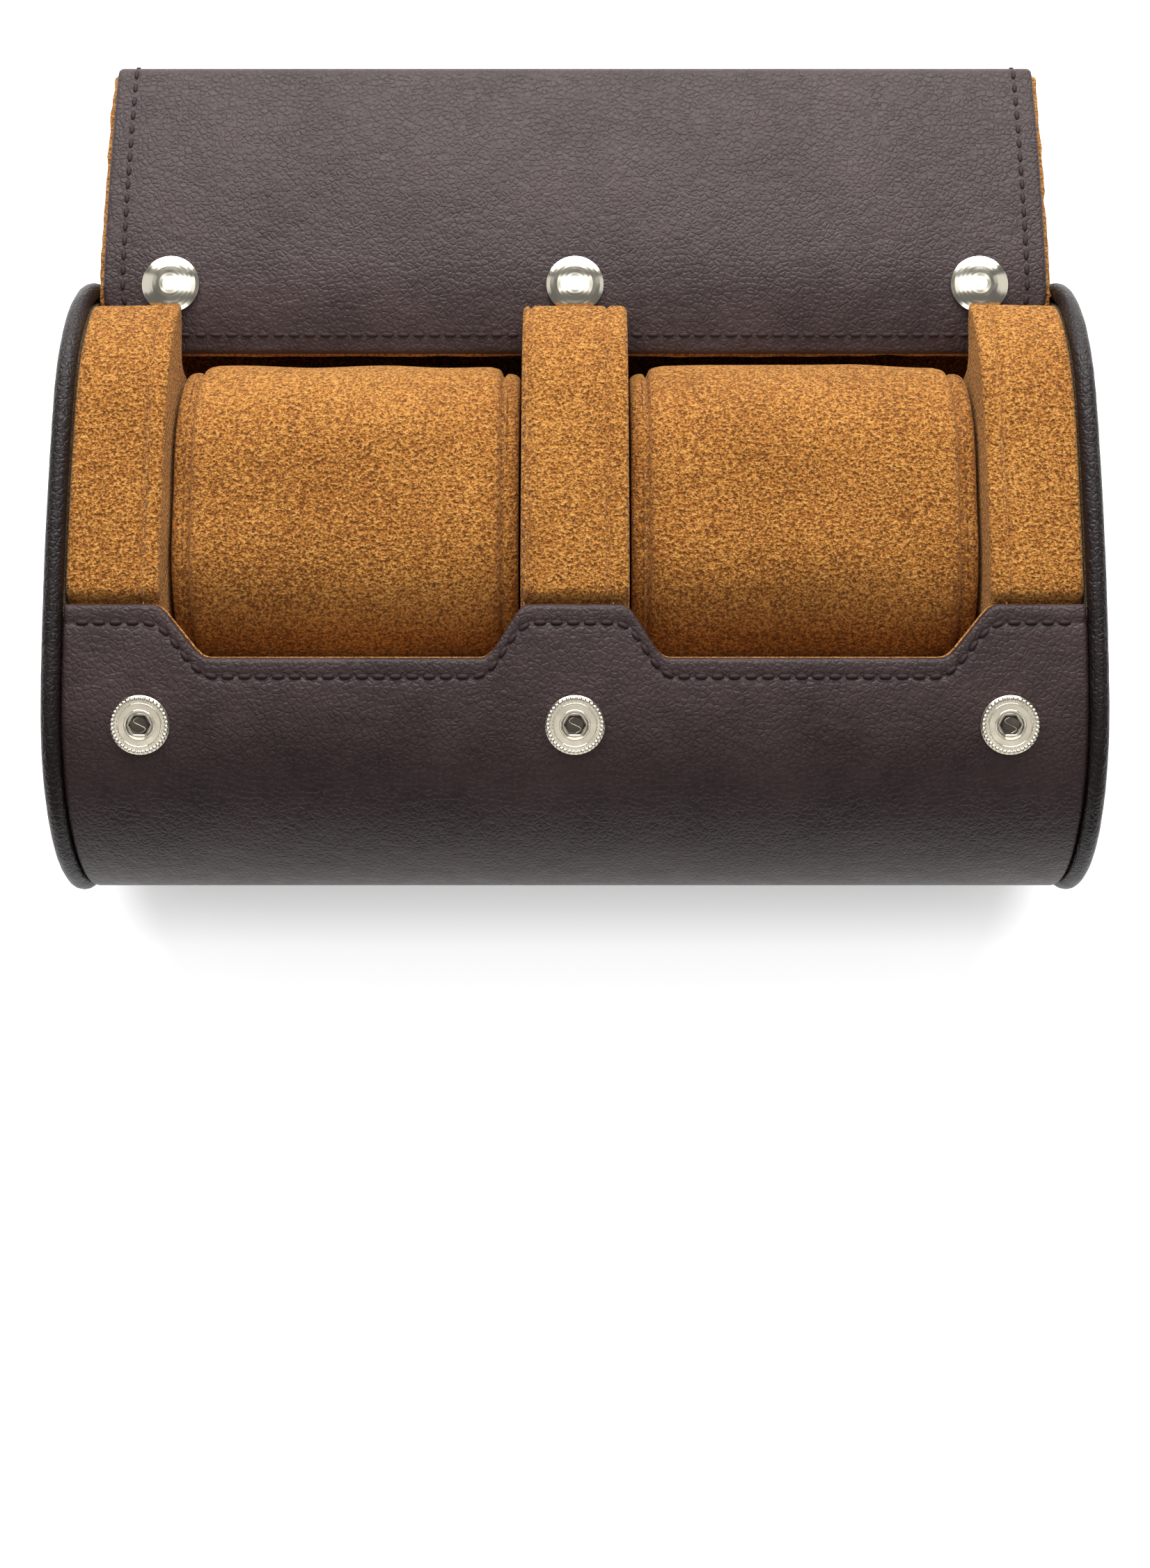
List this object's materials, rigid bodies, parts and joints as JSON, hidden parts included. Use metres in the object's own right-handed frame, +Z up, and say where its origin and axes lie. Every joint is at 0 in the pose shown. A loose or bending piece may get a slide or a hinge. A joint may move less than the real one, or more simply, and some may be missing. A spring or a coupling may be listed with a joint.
{
  "type": "watch travel case",
  "caption": "Leather travel case of oval section for wristwatches, with roll cushions between suede pads and a long snap flap that folds open behind it.",
  "frame": {"origin": "middle of the flat underside that the case rests on", "axes": "+X along the case's length, +Z up, -Y to the front where the flap's snaps close"},
  "size_m": [0.1998, 0.1756, 0.0777],
  "materials": {
    "dark_leather": "dark brown full-grain leather with a fine grain",
    "tan_suede": "tan suede with a short nap",
    "fibre_board": "pressed fibre board, hidden",
    "foam": "firm foam covered in suede",
    "snap_metal": "pale plated press stud metal"
  },
  "bodies": {
    "case": {"body_cover": "dark_leather", "body_board": "fibre_board", "body_lining": "tan_suede", "end_cap_left": "dark_leather", "end_cap_right": "dark_leather", "end_rim_left": "dark_leather", "end_rim_right": "dark_leather", "end_board_left": "fibre_board", "end_board_right": "fibre_board", "divider_left": "tan_suede", "divider_centre": "tan_suede", "divider_right": "tan_suede", "divider_tips": "tan_suede", "cradle_left": "foam", "cradle_right": "foam", "snap_sockets": "snap_metal", "snap_springs": "snap_metal", "snap_backs": "snap_metal", "flap_hinge": "dark_leather"},
    "flap_back": {"flap_back_cover": "dark_leather", "flap_back_lining": "tan_suede", "flap_bend_rear": "dark_leather"},
    "flap_crown": {"flap_crown_cover": "dark_leather", "flap_crown_lining": "tan_suede", "flap_bend_front": "dark_leather"},
    "flap_front": {"flap_front_cover": "dark_leather", "flap_front_lining": "tan_suede", "snap_caps": "snap_metal", "snap_studs": "snap_metal"},
    "pillow_left": {"pillow_left": "tan_suede", "pillow_left_gussets": "tan_suede"},
    "pillow_right": {"pillow_right": "tan_suede", "pillow_right_gussets": "tan_suede"}
  },
  "joints": [
    {"name": "flap_swing", "type": "hinge", "parent": "case", "child": "flap_back", "pos_m": [0, 0.06635, 0.03073], "axis": [1, 0, 0], "range_deg": [0, 138], "deforming": ["flap_hinge", "divider_tips"]},
    {"name": "rear_fold", "type": "hinge", "parent": "flap_back", "child": "flap_crown", "pos_m": [0, 0.10991, 0.01497], "axis": [1, 0, 0], "range_deg": [-70, 0], "deforming": ["flap_bend_rear"]},
    {"name": "front_fold", "type": "hinge", "parent": "flap_crown", "child": "flap_front", "pos_m": [0, 0.10433, 0.0474], "axis": [1, 0, 0], "range_deg": [-57, 0], "deforming": ["flap_bend_front"]},
    {"name": "pillow_left_lift", "type": "slide", "parent": "case", "child": "pillow_left", "axis": [0, 0.1305, 0.9914], "range_m": [0, 0.1]},
    {"name": "pillow_right_lift", "type": "slide", "parent": "case", "child": "pillow_right", "axis": [0, 0.1305, 0.9914], "range_m": [0, 0.1]}
  ],
  "couplings": [
    {"joint": "rear_fold", "follows": "flap_swing", "ratio": -0.5072},
    {"joint": "front_fold", "follows": "flap_swing", "ratio": -0.413}
  ]
}
